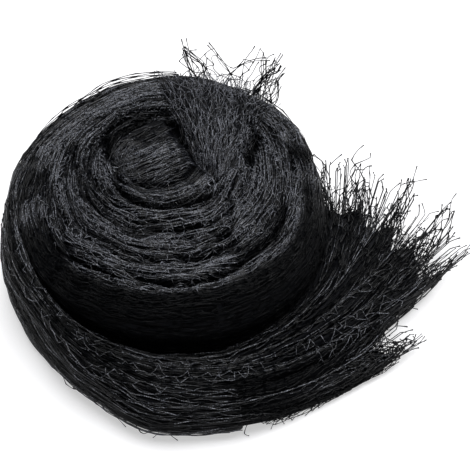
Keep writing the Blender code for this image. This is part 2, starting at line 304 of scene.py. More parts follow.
def foldDrop(x, y):
    # how far the listed furrows lower a place in plan
    drop = np.zeros(np.broadcast(x, y).shape)
    share = np.linspace(0.0, 1.0, 40)
    bend = np.sin(math.pi * share)
    for fold in rowsOf(folds):
        angle = np.radians(fold["begin"] + (fold["end"] - fold["begin"]) * share)
        radius = fold["nearBegin"] + (fold["nearEnd"] - fold["nearBegin"]) * share + fold["bow"] * bend
        radius = radius + 2.0 * np.sin(9.0 * share + fold["begin"])  # none lies quite true
        nearest = np.full(drop.shape, 1.0)
        for r, turn, size in zip(radius / 1000.0, angle, 0.35 + 0.65 * bend ** 0.6):
            away = np.hypot(x - r * math.cos(turn), y - r * math.sin(turn))
            nearest = np.minimum(nearest, away / size)  # a furrow narrows towards its ends
        drop += fold["depth"] / 1000.0 * np.exp(-((nearest / (fold["width"] / 1000.0)) ** 1.4))
    return drop


def planAt(radius, angle):
    # a place in plan from the winding's axis
    return radius * np.cos(np.radians(angle)), radius * np.sin(np.radians(angle))


def turnPhase(radius, angle, count):
    # which turn of the spiral a place is in. A whole number is a furrow's middle plus a half
    out = (radius - roll["coreEdge"]) / (turnsAt(angle, "rim") - roll["coreEdge"])
    x, y = planAt(radius, angle)
    uneven = 0.16 * wander(x, y, 0.045) + 0.035 * wander(x, y, 0.013)
    return count * (1.0 - out) + angle / 360.0 + uneven * count / roll["mainTurns"]


def topHeight(radius, angle):
    x, y = planAt(radius, angle)
    rim, rimHeight = turnsAt(angle, "rim", "height")
    level = roll["axisHeight"] + (rimHeight - roll["axisHeight"]) * smooth(0.0, rim, radius)
    drop = np.where(radius < nest["radius"][-1], readColumn(nest, "radius", "drop", radius), 0.0)
    drop = drop + foldDrop(x, y)
    fade = smooth(0.045, 0.065, radius)
    # the main furrows come and go, so that no turn runs evenly all the way round
    strength = np.clip(0.75 + 1.1 * wander(x, y, 0.07, 2.6), 0.15, 1.35)
    furrow = 1.0 - np.sqrt(np.abs(np.cos(np.pi * turnPhase(radius, angle, roll["mainTurns"]))))
    drop = drop + roll["mainDepth"] * strength * furrow * fade
    fine = 1.0 - np.abs(np.cos(np.pi * turnPhase(radius, angle, roll["fineTurns"])))
    strength = np.clip(0.65 + 1.2 * wander(x, y, 0.032, 5.1), 0.05, 1.5)
    drop = drop + roll["fineDepth"] * strength * fine * fade
    uneven = 0.0035 * wander(x, y, 0.060) + 0.0018 * wander(x, y, 0.017, 3.3)
    return level - drop + uneven, drop


def rollSurface():
    angles = np.linspace(0.0, 360.0, roll["sections"] + 1)[:, None] + roll["firstAngle"]
    core, top, shoulder, wall, outer = roll["rings"]
    rim, groove, width, crest = turnsAt(angles, "rim", "groove", "width", "crest")
    edge = roll["coreEdge"]
    radii = [np.broadcast_to(edge * np.arange(core) / core, (len(angles), core))]
    radii.append(edge + (rim - roll["shoulder"] - edge) * np.arange(top + 1) / top)
    heights, drops = (list(part) for part in zip(*(topHeight(part, angles) for part in radii)))
    lip = heights[1][:, -1:]
    drop = np.minimum(roll["shoulder"], 0.35 * (lip - groove))
    bend = 0.5 * math.pi * np.arange(1, shoulder + 1) / shoulder
    radii.append(rim - roll["shoulder"] * (1 - np.sin(bend)))
    heights.append(lip - drop * (1 - np.cos(bend)))
    down = np.arange(1, wall + 1) / wall
    wallTop = heights[-1][:, -1:]
    bulge = roll["wallBulge"] * np.sin(math.pi * down) * smooth(0.0, 0.03, wallTop - groove)
    radii.append(rim + bulge)
    heights.append(wallTop + (groove - wallTop) * down)
    step = 9.0 * np.arange(1, outer + 1) / outer
    climb = readColumn(band, "step", "climb", step)
    height = climb * readColumn(band, "step", "share", step) * crest + (1 - climb) * groove
    height = np.maximum(height, 0.0)
    turn = np.radians(angles)
    radii.append(rim + width * readColumn(band, "step", "across", step) * bandUneven(angles, rim + height))
    heights.append(height)
    radii, heights = np.concatenate(radii, axis=1), np.concatenate(heights, axis=1)
    points = np.stack([axisX + radii * np.cos(turn), axisY + radii * np.sin(turn), heights], axis=2)
    surface = {"points": points, "normals": normalsOf(points)}
    # bunches of strands along the sides of the winding
    ring = np.arange(points.shape[1])[None, :]
    low = smooth(core + top, core + top + shoulder, ring)
    bunch = wander(np.cos(turn) * 1.3 + ring * 0.0, ring * 0.30, 1.0, np.sin(turn) * 1.3 + ring * 0.0)
    # how pale a strand is painted there, as painted shade: palest where the top stands highest, least deep in
    # a furrow and on the wall
    proud = 1.35 * np.exp(-np.maximum(np.concatenate(drops, axis=1), 0.0) / roll["paintedShadeDepth"])
    rest = points.shape[1] - proud.shape[1]
    proud = np.concatenate([proud, np.repeat(np.minimum(proud[:, -1:], 1.0), rest, axis=1)], axis=1)
    # painted shade on the shoulder and the wall, strongest where they face the front
    front = smooth(0.25, 0.75, np.cos(turn + math.radians(75.0)))
    part = np.interp(ring, np.concatenate([[0], np.cumsum(roll["rings"])]), np.arange(6))
    paintedShoulderShade = front * smooth(1.93, 2.2, part) + (1.0 - front) * 0.5 * smooth(2.5, 3.3, part)
    surface["proud"] = np.where(part > 4.0, 1.0, proud * (1.0 - 0.93 * paintedShoulderShade))
    away = smooth(0.0, 0.006, heights)
    points += surface["normals"] * ((roll["bunchDepth"] * bunch * low - roll["skin"]) * away)[..., None]
    surface["normals"] = normalsOf(points)
    surface["normals"][:, 0] = (0.0, 0.0, 1.0)
    return surface


def rollColumn(part):
    # the share of the columns for a place given as 0-1 core, 1-2 top, 2-3 shoulder, 3-4 wall, 4-5 outer turn
    ends = np.concatenate([[0], np.cumsum(roll["rings"])])
    return np.interp(part, np.arange(6), ends) / ends[-1]


def rollRow(angle):
    return np.mod(angle - roll["firstAngle"], 360.0) / 360.0


def sameTurn(angle):
    # the same direction, counted from the first angle
    return np.mod(angle - roll["firstAngle"], 360.0) + roll["firstAngle"]


def partAt(radius, angle):
    # which part of the roll a radius falls in, seen from above
    rim = turnsAt(sameTurn(angle), "rim")
    edge, lip = roll["coreEdge"], rim - roll["shoulder"]
    onShoulder = np.clip(1.0 - (rim - radius) / roll["shoulder"], 0.0, 1.0)
    return np.where(radius < edge, radius / edge,
                    np.where(radius < lip, 1.0 + (radius - edge) / (lip - edge),
                             2.0 + np.arcsin(onShoulder) * 2.0 / math.pi))


def topPlace(x, y):
    # the row and column of the roll's top under a place in plan
    angle = np.degrees(np.arctan2(y - axisY, x - axisX))
    return rollRow(angle), rollColumn(partAt(np.hypot(x - axisX, y - axisY), angle))


def topUnder(x, y):
    return gridAt(wound["points"], *topPlace(x, y))[..., 2]


# the painted shade of the roll's top under a place in plan
def proudUnder(x, y):
    return gridAt(wound["proud"], *topPlace(x, y))


wound = rollSurface()
print("winding formed", wound["points"].shape)

twine = {
    "side": 0.017,  # of a mesh, from knot to knot
    # The real twine is about 0.3 mm thick. It is drawn thicker, or it wouldn't show.
    "radius": 0.00034, "knot": 1.7, "points": 4,
    # the twine's colours by the shade attribute; the palest ones are painted light, on the upper plies and in
    # the painted glints
    "darkest": "#020305", "middle": "#15171d", "palest": "#73767f",
    "roughness": 0.42, "twistPitch": 0.0022, "twistDepth": 0.00012,
}


def twineMaterial(name, paintedShade):
    # Black polyethylene monofilament, extruded, twisted and knotted. It gives the eye a near-black
    # body with a cold grey satin glint on each strand that faces the light.
    material, tree, shader = startMaterial(name, twine["roughness"])
    shader.inputs["IOR"].default_value = 1.5
    shade = addNode(tree, "Attribute", {"attribute_name": "shade"})
    coords = addNode(tree, "TexCoord")
    patches = addNode(tree, "TexNoise", None, {"Scale": 40.0, "Detail": 2.0},
                      {"Vector": coords.outputs["Object"]})  # dust and wear in patches of about 25 mm
    # the shade attribute, which holds painted light and shade, times the dust and wear
    wornAndShaded = addNode(tree, "Math", {"operation": "MULTIPLY"}, None,
                   {0: shade.outputs["Fac"], 1: patches.outputs["Fac"]})
    # painted glints in the colour, about 1.5 mm long, standing in for where the twist of the strand faces the
    # light. Real ones are finer.
    glints = addNode(tree, "TexNoise", None, {"Scale": 850.0, "Detail": 1.0},
                     {"Vector": coords.outputs["Object"]})
    spread = addNode(tree, "MapRange", None, {"From Min": 0.40, "From Max": 0.63, "To Min": 0.08,
                     "To Max": 2.4}, {"Value": glints.outputs["Fac"]})
    mixed = addNode(tree, "Math", {"operation": "MULTIPLY_ADD"}, None,
                    {0: wornAndShaded.outputs[0], 1: spread.outputs["Result"]})
    # painted shade: the shaded copies of the twine are made darker by this much
    mixed.inputs[2].default_value = -paintedShade
    ramp = addNode(tree, "ValToRGB", None, None, {"Fac": mixed.outputs[0]})
    ramp.color_ramp.elements[0].color = linearColour(twine["darkest"])
    ramp.color_ramp.elements[1].position = 0.55
    ramp.color_ramp.elements[1].color = linearColour(twine["palest"])
    middle = ramp.color_ramp.elements.new(0.18)
    middle.color = linearColour(twine["middle"])
    tree.links.new(ramp.outputs["Color"], shader.inputs["Base Color"])
    # painted shade on the reflection: the specular level follows the shade attribute, as strands deep in a
    # furrow have nothing bright to mirror
    sheen = addNode(tree, "MapRange", None, {"From Max": 0.6, "To Min": 0.06, "To Max": 0.6},
                    {"Value": shade.outputs["Fac"]})
    tree.links.new(sheen.outputs["Result"], shader.inputs["Specular IOR Level"])
    # the twist of the filament, by its own length and turn
    lengths = addNode(tree, "UVMap", {"uv_map": "UVMap"})
    twist = addNode(tree, "TexWave", {"wave_type": "BANDS", "bands_direction": "DIAGONAL"},
                    {"Scale": 0.3 / twine["twistPitch"], "Distortion": 0.6},
                    {"Vector": lengths.outputs["UV"]})
    bump = addNode(tree, "Bump", None, {"Strength": 0.5, "Distance": twine["twistDepth"]},
                   {"Height": twist.outputs["Fac"]})
    tree.links.new(bump.outputs["Normal"], shader.inputs["Normal"])
    return material


packed = {
    "darkest": "#020204", "palest": "#0f1116", "roughness": 0.62, "specular": 0.08,
    "alongScale": 70.0, "acrossScale": 260.0,  # strands about 1.2 mm apart
    "bump": 0.0008,
}


def packedMaterial(name):
    # The plies below, packed tight: the same polyethylene twine, painted near-black and with little
    # specular as painted shade, so that only the run of the strands shows.
    material, tree, shader = startMaterial(name, packed["roughness"])
    shader.inputs["Specular IOR Level"].default_value = packed["specular"]
    lengths = addNode(tree, "UVMap", {"uv_map": "UVMap"})
    stretch = addNode(tree, "Mapping", None, None, {"Vector": lengths.outputs["UV"]})
    stretch.inputs["Scale"].default_value = (packed["alongScale"], packed["acrossScale"], 1.0)
    strands = addNode(tree, "TexNoise", None, {"Scale": 1.0, "Detail": 3.0},
                      {"Vector": stretch.outputs["Vector"]})
    ramp = addNode(tree, "ValToRGB", None, None, {"Fac": strands.outputs["Fac"]})
    ramp.color_ramp.elements[0].position = 0.42
    ramp.color_ramp.elements[0].color = linearColour(packed["darkest"])
    ramp.color_ramp.elements[1].position = 0.68
    ramp.color_ramp.elements[1].color = linearColour(packed["palest"])
    tree.links.new(ramp.outputs["Color"], shader.inputs["Base Color"])
    bump = addNode(tree, "Bump", None, {"Strength": 0.9, "Distance": packed["bump"]},
                   {"Height": strands.outputs["Fac"]})
    tree.links.new(bump.outputs["Normal"], shader.inputs["Normal"])
    return material


def gridForm(points):
    # a bmesh grid carried to these places, with its vertices by row and column
    form = bmesh.new()
    form.loops.layers.uv.new("UVMap")
    rows, columns = points.shape[:2]
    bmesh.ops.create_grid(form, x_segments=rows - 1, y_segments=columns - 1, size=1.0, calc_uvs=True)
    table = {}
    for vert in form.verts:
        i = round((vert.co.x + 1.0) / 2.0 * (rows - 1))
        j = round((vert.co.y + 1.0) / 2.0 * (columns - 1))
        vert.co = points[i, j]
        table[i, j] = vert
    return form, table


def addPiece(name, mesh, material):
    mesh.materials.append(material)
    piece = bpy.data.objects.new(name, mesh)
    bpy.context.scene.collection.objects.link(piece)
    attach(piece, "root")
    return piece


def makeRollBody():
    points = wound["points"]
    last, foot = points.shape[0] - 1, points.shape[1] - 1
    furrow = sum(roll["rings"][:4])
    form, table = gridForm(points)
    # the floor face, and the cut where the outer turn leaves the roll
    flat = [form.faces.new([table[i, foot] for i in range(last + 1)])]
    cut = [table[last, j] for j in range(furrow, foot + 1)] + [table[0, j] for j in range(foot, furrow, -1)]
    flat.append(form.faces.new(cut))
    bmesh.ops.triangulate(form, faces=flat)
    bmesh.ops.remove_doubles(form, verts=form.verts, dist=1e-6)
    bmesh.ops.recalc_face_normals(form, faces=form.faces)
    mesh = bpy.data.meshes.new("woundBody")
    form.to_mesh(mesh)
    form.free()
    mesh.shade_smooth()
    body = addPiece("woundBody", mesh, packedMaterial("packedBlackTwine"))
    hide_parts("net_roll")
    return body


def threadMesh(name, paths, thickness, shades, material):
    # one three-sided closed tube a path. paths: (threads, points, 3)
    count, size = paths.shape[:2]
    ahead = np.gradient(paths, axis=1)
    ahead /= np.maximum(np.linalg.norm(ahead, axis=2, keepdims=True), 1e-12)
    aside = np.cross(ahead, np.where(np.abs(ahead[..., 2:3]) > 0.9, (1.0, 0.0, 0.0), (0.0, 0.0, 1.0)))
    aside /= np.maximum(np.linalg.norm(aside, axis=2, keepdims=True), 1e-12)
    above = np.cross(aside, ahead)
    swell = np.ones(size)
    swell[[0, -1]] = twine["knot"]
    corners = []
    for corner in range(3):
        turn = math.radians(90.0 + 120.0 * corner)
        offset = aside * math.cos(turn) + above * math.sin(turn)
        corners.append(paths + offset * (thickness[:, None] * swell[None, :])[..., None])
    verts = np.stack(corners, axis=2).reshape(-1, 3)
    first = (np.arange(count) * size * 3)[:, None, None]
    ring = (np.arange(size - 1) * 3)[None, :, None]
    near = first + ring + np.arange(3)[None, None, :]
    far = first + ring + np.roll(np.arange(3), -1)[None, None, :]
    quads = np.stack([near, near + 3, far + 3, far], axis=3).reshape(-1, 4)
    starts = (np.arange(count) * size * 3)[:, None] + np.array([0, 1, 2])
    ends = starts[:, ::-1] + (size - 1) * 3
    caps = np.concatenate([starts, ends])
    mesh = bpy.data.meshes.new(name)
    mesh.vertices.add(len(verts))
    mesh.vertices.foreach_set("co", verts.astype(np.float32).ravel())
    mesh.loops.add(quads.size + caps.size)
    mesh.loops.foreach_set("vertex_index", np.concatenate([quads.ravel(), caps.ravel()]).astype(np.int32))
    mesh.polygons.add(len(quads) + len(caps))
    begins = np.concatenate([np.arange(len(quads)) * 4, quads.size + np.arange(len(caps)) * 3])
    mesh.polygons.foreach_set("loop_start", begins.astype(np.int32))
    smoothFaces = np.concatenate([np.ones(len(quads), bool), np.zeros(len(caps), bool)])
    mesh.polygons.foreach_set("use_smooth", smoothFaces)
    mesh.update(calc_edges=True)
    # UV: the length along the thread and the turn round it, both in metres
    length = np.linalg.norm(np.diff(paths, axis=1), axis=2).cumsum(axis=1)
    length = np.concatenate([np.zeros((count, 1)), length], axis=1)
    along = np.repeat(length.ravel(), 3)
    around = np.tile(np.arange(3) * 0.0009, count * size)
    corner = np.concatenate([quads.ravel(), caps.ravel()])
    uvs = np.stack([along[corner], around[corner]], axis=1)
    mesh.uv_layers.new(name="UVMap").uv.foreach_set("vector", uvs.astype(np.float32).ravel())
    attribute = mesh.attributes.new("shade", "FLOAT", "POINT")
    attribute.data.foreach_set("value", np.repeat(shades.ravel(), 3).astype(np.float32))
    print(name, count, "strands")
    return addPiece(name, mesh, material)


def netSides(rows, bars, random, stray=0.3, slip=0.1, sag=0.5, slide=0.5, gather=0.0):
    # Every side of a diamond net as four places: across in rows, along in bars, and how high it lies, 0 to 1.
    # Neighbouring strands meet at every other knot.
    i, j = np.meshgrid(np.arange(rows), np.arange(bars), indexing="ij")
    i, j = i.ravel(), j.ravel()
    begin, end = i + (i + j) % 2, i + (i + j + 1) % 2
    across = np.arange(rows + 1)[:, None] + random.normal(0.0, stray, (rows + 1, bars + 1))
    along = np.arange(bars + 1)[None, :] + random.normal(0.0, slip, (rows + 1, bars + 1))
    # the knots slide along from strand to strand, so that they never stand in line across the net
    along = along + slide * np.sin(random.normal(0.0, 0.9, (rows + 1, 1)).cumsum(axis=0))
    # most of a strand lies at one height
    high = 0.65 * random.random((rows + 1, 1)) + 0.35 * random.random((rows + 1, bars + 1))
    t = np.linspace(0.0, 1.0, twine["points"])[None, :]
    bend = np.sin(math.pi * t)

    def between(table, slack):
        straight = table[begin, j][:, None] * (1 - t) + table[end, j + 1][:, None] * t
        return straight + bend * random.normal(0.0, slack, (len(i), 1))

    # a gathered net is pulled so long that its strands lie side by side
    spread, middle = between(across, sag), i[:, None] + 0.5
    return middle + (spread - middle) * (1.0 - gather), between(along, 0.0), between(high, 0.2)


def thinned(random, keep, *tables):
    kept = random.random(len(tables[0])) < keep
    return [table[kept] for table in tables]


def shadesOf(random, high, gain):
    # each side has a tone of its own at random, and is painted palest where it lies high, as painted shade on
    # the strands below; glint puts painted glints at random along it
    whole = random.random((len(high), 1))
    glint = random.random(high.shape)
    return gain * (0.1 + 0.9 * np.clip(high, 0.0, 1.0)) * (0.45 + 0.55 * whole) * (0.6 + 0.6 * glint)


def thicknessOf(random, count):
    return twine["radius"] * random.uniform(0.8, 1.2, count)


# three copies of one twine: a darker copy as painted shade, on the side of the roll, the outer end, the tufts
# and the rim meshes, and a paler copy as painted light on the inner end
woundTwine = twineMaterial("blackPolyethyleneTwine", 0.02)
shadedTwine = twineMaterial("shadedPolyethyleneTwine", 0.10)
litTwine = twineMaterial("litPolyethyleneTwine", 0.0)
makeRollBody()
print("roll body made")

# the net over the wound turns: a strip for each fine turn of the spiral
topNet = {
    "columns": ("rows", "lift", "keep", "gain"),
    "rows": ((16, 0.0014, 1.00, 0.40), (10, 0.0026, 0.90, 2.1)),
    "overlap": 1.15, "drift": 0.04, "inner": 0.030, "fullWidth": 0.0115, "seed": 11,
}


def spiralPly(random, rows, lift):
    turnAt = [0.0]
    count, edge = roll["fineTurns"], roll["coreEdge"]

    def radiusAt(turn, rim):
        return edge + (1.0 - turn / count) * (rim - edge)

    while turnAt[-1] < count:
        rim = float(turnsAt(roll["leaveAngle"] - 360.0 * (turnAt[-1] % 1.0), "rim"))
        turnAt.append(turnAt[-1] + twine["side"] / (2.0 * math.pi * radiusAt(turnAt[-1], rim)))
    bars = len(turnAt) - 1
    across, along, high = netSides(rows, bars, random, stray=0.55, slip=0.2, sag=0.5)
    turn = np.interp(along, np.arange(bars + 1), turnAt)
    angle = sameTurn(roll["leaveAngle"] - 360.0 * turn)
    rim = turnsAt(angle, "rim")
    inwards = turn + across / rows * topNet["overlap"] - 0.5
    radius = radiusAt(inwards, rim)
    x, y = planAt(radius, angle)
    radius = radiusAt(inwards - topNet["drift"] * count * wander(x, y, 0.045), rim)
    part = partAt(np.clip(radius, topNet["inner"], rim - 0.0004), angle)
    # fewer strands where the turns are narrow, so that they stay apart
    room = ((rim - edge) / count / topNet["fullWidth"]).mean(axis=1)
    shown = random.random(len(room)) < np.clip(room, 0.35, 1.0)
    row, column = rollRow(angle), rollColumn(part)
    paths = layOn(wound, row, column, 0.0004 + lift * high)
    # with the painted shade of the places they lie on
    return paths[shown], high[shown], gridAt(wound["proud"], row, column)[shown]


for number, ply in enumerate(rowsOf(topNet)):
    random = np.random.default_rng(topNet["seed"] + number)
    paths, high, proud = thinned(random, ply["keep"], *spiralPly(random, ply["rows"], ply["lift"]))
    # painted light and shade: the upper ply is painted paler by its gain, and strands in the furrows and on
    # the wall darker
    shades = shadesOf(random, high, ply["gain"]) * proud
    threadMesh(f"topNet{number + 1}", paths, thicknessOf(random, len(paths)), shades, woundTwine)

# the crumpled net that crosses the turns, its meshes pulled half open
crossNet = {
    "rows": 44, "bars": 140, "from": 0.050, "rimGap": 0.006, "lift": 0.0026, "off": 0.0010, "keep": 0.80,
    "gain": 2.2, "thick": 0.75, "seed": 21,
}
random = np.random.default_rng(crossNet["seed"])
across, along, high = netSides(crossNet["rows"], crossNet["bars"], random, stray=0.5, slip=0.35, sag=0.7)
angle = np.mod(360.0 * along / crossNet["bars"], 360.0) + roll["firstAngle"]
rimRoom = turnsAt(angle, "rim") - crossNet["rimGap"] - crossNet["from"]
radius = crossNet["from"] + rimRoom * across / crossNet["rows"]
part = partAt(radius, angle)
paths = layOn(wound, rollRow(angle), rollColumn(part), crossNet["off"] + crossNet["lift"] * high)
# painted shade under the strands, darker deeper in the furrows
proud = gridAt(wound["proud"], rollRow(angle), rollColumn(part))
joined = np.ptp(angle, axis=1) < 90.0  # none runs back over the cut
paths, high, proud = thinned(random, crossNet["keep"], paths[joined], high[joined], proud[joined])
threadMesh("crossNet", paths, thicknessOf(random, len(paths)) * crossNet["thick"],
           shadesOf(random, high, crossNet["gain"]) * proud ** 1.5, woundTwine)

# the net round the side of the roll and over the outer turn
sideNet = {
    "wall": {"rows": 66, "from": 2.0, "to": 4.05, "lift": 0.0022, "keep": 0.9, "gain": 1.2},
    "outer": {"rows": 92, "from": 3.98, "to": 4.92, "lift": 0.0022, "keep": 0.9, "gain": 0.95},
    "seed": 31,
}


def ringPly(random, rows, fromPart, toPart, lift):
    # strands that run right round, evenly spaced from one part of the section to another
    angles = np.linspace(roll["firstAngle"], roll["firstAngle"] + 360.0, 721)
    rim, width = turnsAt(angles, "rim", "width")
    reach = rim + width * 0.5
    run = np.concatenate([[0.0], np.cumsum(0.5 * (reach[1:] + reach[:-1]) * np.radians(0.5))])
    bars = int(run[-1] / twine["side"])
    across, along, high = netSides(rows, bars, random, stray=0.6, slip=0.15, sag=0.8)
    angle = np.interp(along / bars * run[-1], run, angles)
    turn = np.radians(angle)
    drift = 0.10 * wander(np.cos(turn) * 1.7, across / rows * 2.0, 1.0, np.sin(turn) * 1.7)
    part = fromPart + (toPart - fromPart) * (across / rows + drift)
    part = np.clip(part, fromPart, toPart)
    row, column = np.clip((angle - roll["firstAngle"]) / 360.0, 0.0, 1.0), rollColumn(part)
    return layOn(wound, row, column, 0.0004 + lift * high), high, gridAt(wound["proud"], row, column)


for number, key in enumerate(("wall", "outer")):
    ply = sideNet[key]
    random = np.random.default_rng(sideNet["seed"] + number)
    laid = ringPly(random, ply["rows"], ply["from"], ply["to"], ply["lift"])
    paths, high, proud = thinned(random, ply["keep"], *laid)
    paths[..., 2] = np.maximum(paths[..., 2], 0.0006)
    # painted shade: darker on the shoulder and the wall, most of all at the front
    shades = shadesOf(random, high, ply["gain"]) * proud
    threadMesh(f"{key}Net", paths, thicknessOf(random, len(paths)), shades, shadedTwine)

# the knot of net in the middle, laid flat across the nest, and the arcs round it
knot = {
    "turn": 30.0, "long": 0.048, "wide": 0.043, "at": (-0.004, 0.005), "rows": 70, "plies": 2,
    "lift": 0.0026, "gain": 2.1, "seed": 51,
    "arcRows": 26, "arcFrom": 0.031, "arcTo": 0.056, "arcAngles": (140.0, 395.0),
}


def knotPly(random):
    bars = int(2.2 * knot["long"] / twine["side"]) + 1
    across, along, high = netSides(knot["rows"], bars, random, stray=0.9, slip=0.3, sag=0.7)
    p = (along - bars / 2.0) * twine["side"]
    q = (across / knot["rows"] - 0.5) * 2.0 * knot["wide"]
    q = q + 2.0 * p * p  # the strands curve round the middle
    turn = math.radians(knot["turn"])
    x = axisX + knot["at"][0] + p * math.cos(turn) - q * math.sin(turn)
    y = axisY + knot["at"][1] + p * math.sin(turn) + q * math.cos(turn)
    inside = np.hypot(p / knot["long"], q / knot["wide"]).max(axis=1) < 1.0
    x, y, high = x[inside], y[inside], high[inside]
    z = topUnder(x, y) + 0.0005 + knot["lift"] * high
    return np.stack([x, y, z], axis=2), high, proudUnder(x, y)


def arcPly(random):
    middle = 0.5 * (knot["arcFrom"] + knot["arcTo"])
    begin, end = knot["arcAngles"]
    bars = int(math.radians(end - begin) * middle / twine["side"])
    across, along, high = netSides(knot["arcRows"], bars, random, stray=0.6, slip=0.2, sag=0.6)
    angle = begin + (end - begin) * along / bars
    share = across / knot["arcRows"]
    radius = knot["arcFrom"] + (knot["arcTo"] - knot["arcFrom"]) * (share + along / bars * 0.5 - 0.25)
    x, y = planAt(radius, angle)
    x, y = axisX + x, axisY + y
    return np.stack([x, y, topUnder(x, y) + 0.0005 + knot["lift"] * high], axis=2), high, proudUnder(x, y)


random = np.random.default_rng(knot["seed"])
plies = [knotPly(random) for _ in range(knot["plies"])] + [arcPly(random), arcPly(random)]
paths, high, proud = (np.concatenate(parts) for parts in zip(*plies))
# painted shade: darker in the furrows round the knot
shades = shadesOf(random, high, knot["gain"]) * (0.15 + 0.85 * proud)
threadMesh("knotNet", paths, thicknessOf(random, len(paths)), shades, woundTwine)

# The outer end, fanned over the floor. place runs from its floor edge to the roll. reach: how far
# a strand keeps the direction in which it leaves, tip: where it ends, from the axis, crest and
# lift: its top half way and at the tip
outerEnd = {
    "place": (0.00, 0.08, 0.16, 0.26, 0.40, 0.55, 0.70, 0.84, 0.93, 1.00),
    "reach": (80, 86, 94, 102, 110, 117, 124, 130, 133, 135),
    "tipX": (232, 254, 238, 258, 305, 288, 250, 208, 172, 152),
    "tipY": (-172, -160, -136, -90, -54, -10, 24, 46, 56, 44),
    "crest": (7, 15, 23, 30, 36, 41, 43, 44, 43, 42),
    "lift": (4, 8, 10, 12, 16, 24, 34, 40, 43, 44),
    "pleats": 8, "pleatDepth": 0.0035, "bundleDepth": 0.0045, "peakEvery": 0.15, "peakShare": 0.06,
    "leastThick": 0.004, "liftsFrom": 0.55, "bodyTo": 0.82, "sheetThick": 0.0014,
    "bunches": 15,  # that the strands draw into, side by side
    "bodyBunches": 17.0,  # the broader ones of the plies below
    "runFrom": 196.0, "turnColumns": 90, "fanColumns": 110, "floorGap": 0.0007,
}
toMetres(outerEnd, "reach", "tipX", "tipY", "crest", "lift")


def bunchAt(place, run):
    # the long bunches that gathered strands fall into. run is the length along them, from the cut
    return wander(place * outerEnd["bodyBunches"], run * 1.7, 1.0, 7.7)


def bundles(place, run):
    return outerEnd["bundleDepth"] * bunchAt(place, run)


def bandTop(across):
    # top of the outer turn at the cut, by the share of its width outwards
    groove, crest = turns["groove"][-1], turns["crest"][-1]
    climb, share = np.array(band["climb"]), np.array(band["share"])
    tops = climb * share * crest + (1 - climb) * groove
    return np.interp(across, band["across"][:8], tops[:8])


def dipAt(place):
    # 0 on the peaks of the frayed edge and 1 half way between them
    uneven = 1.0 - place + 0.012 * np.sin(23.0 * place)
    return 0.5 - 0.5 * np.cos(2 * math.pi * uneven / outerEnd["peakEvery"])


def outerEndAt(place, along, level=1.0):
    # level 1 is the top of the fan and 0 its underside
    place = np.clip(place, 0.0, 1.0)
    leave = math.radians(roll["leaveAngle"])
    across = 1.0 - place
    radius = turns["rim"][-1] + turns["width"][-1] * across
    startX, startY = math.cos(leave) * radius, math.sin(leave) * radius
    reach, tipX, tipY, crest, lift = (readColumn(outerEnd, "place", name, place)
                                      for name in ("reach", "tipX", "tipY", "crest", "lift"))
    s = along * (1.0 - outerEnd["peakShare"] * dipAt(place))

    def bent(start, middle, tip):
        return start * (1 - s) ** 2 + middle * 2 * s * (1 - s) + tip * s**2

    x = bent(startX, startX - math.sin(leave) * reach, tipX)
    y = bent(startY, startY + math.cos(leave) * reach, tipY)
    begin = bandTop(across)
    top = bent(begin, 2 * crest - 0.5 * (begin + lift), lift)
    inside = smooth(0.0, 0.15, place)
    pleat = np.cos(2 * math.pi * outerEnd["pleats"] * place + 3.0 * s)
    top = top + outerEnd["pleatDepth"] * pleat * smooth(0.0, 0.25, s) * inside + bundles(place, s) * inside
    top = np.maximum(top, outerEnd["leastThick"])
    under = (lift - outerEnd["leastThick"]) * smooth(outerEnd["liftsFrom"], 1.0, s)
    under = np.maximum(np.minimum(under, top - outerEnd["leastThick"]), 0.0)
    return np.stack([axisX + x, axisY + y, under + (top - under) * level], axis=-1)


def outerRunSurface():
    # one surface from the front of the outer turn on to the tips, for the strands that run through
    place = np.linspace(0.0, 1.0, 121)[:, None]
    angles = np.linspace(outerEnd["runFrom"], roll["leaveAngle"], outerEnd["turnColumns"] + 1)[None, :-1]
    rim, groove, width, crest = turnsAt(angles, "rim", "groove", "width", "crest")
    across = 1.0 - place
    climb = np.interp(across, band["across"][:8], band["climb"][:8])
    share = np.interp(across, band["across"][:8], band["share"][:8])
    height = climb * share * crest + (1 - climb) * groove
    turn = np.radians(angles)
    radius = rim + width * across * bandUneven(angles, rim + height)
    run = (angles - roll["leaveAngle"]) / 60.0
    height = height + bundles(place, run) * smooth(0.0, 0.15, place)
    onTurn = np.stack([axisX + radius * np.cos(turn), axisY + radius * np.sin(turn), height], axis=2)
    along = np.linspace(0.0, 1.0, outerEnd["fanColumns"] + 1)[None, :] + 0.0 * place
    points = np.concatenate([onTurn, outerEndAt(place + 0.0 * along, along)], axis=1)
    return {"points": points, "normals": normalsOf(points)}


def makeSheet(name, points, thick, materialName):
    form, _ = gridForm(points)
    form.normal_update()
    if sum(face.normal.z for face in form.faces) < 0:
        bmesh.ops.reverse_faces(form, faces=form.faces)
    mesh = bpy.data.meshes.new(name)
    form.to_mesh(mesh)
    form.free()
    mesh.shade_smooth()
    sheet = addPiece(name, mesh, packedMaterial(materialName))
    wall = sheet.modifiers.new("thickness", "SOLIDIFY")
    wall.thickness = thick
    wall.offset = -1.0
    return sheet


place = np.linspace(0.0, 1.0, 121)[:, None] + np.zeros((1, 81))
along = np.linspace(0.0, outerEnd["bodyTo"], 81)[None, :] + np.zeros((121, 1))
fanPoints = outerEndAt(place, along)
fanPoints[..., 2] -= 0.001
fanSheet = makeSheet("outerEndPly", fanPoints, outerEnd["sheetThick"],
                     "packedOuterEndTwine")
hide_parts("outer_end")

outerRun = outerRunSurface()
runLength = np.linalg.norm(np.diff(outerRun["points"][60], axis=0), axis=1).sum()
runBars = int(round(runLength / twine["side"]))
turnShare = outerEnd["turnColumns"] / (outerEnd["turnColumns"] + outerEnd["fanColumns"])


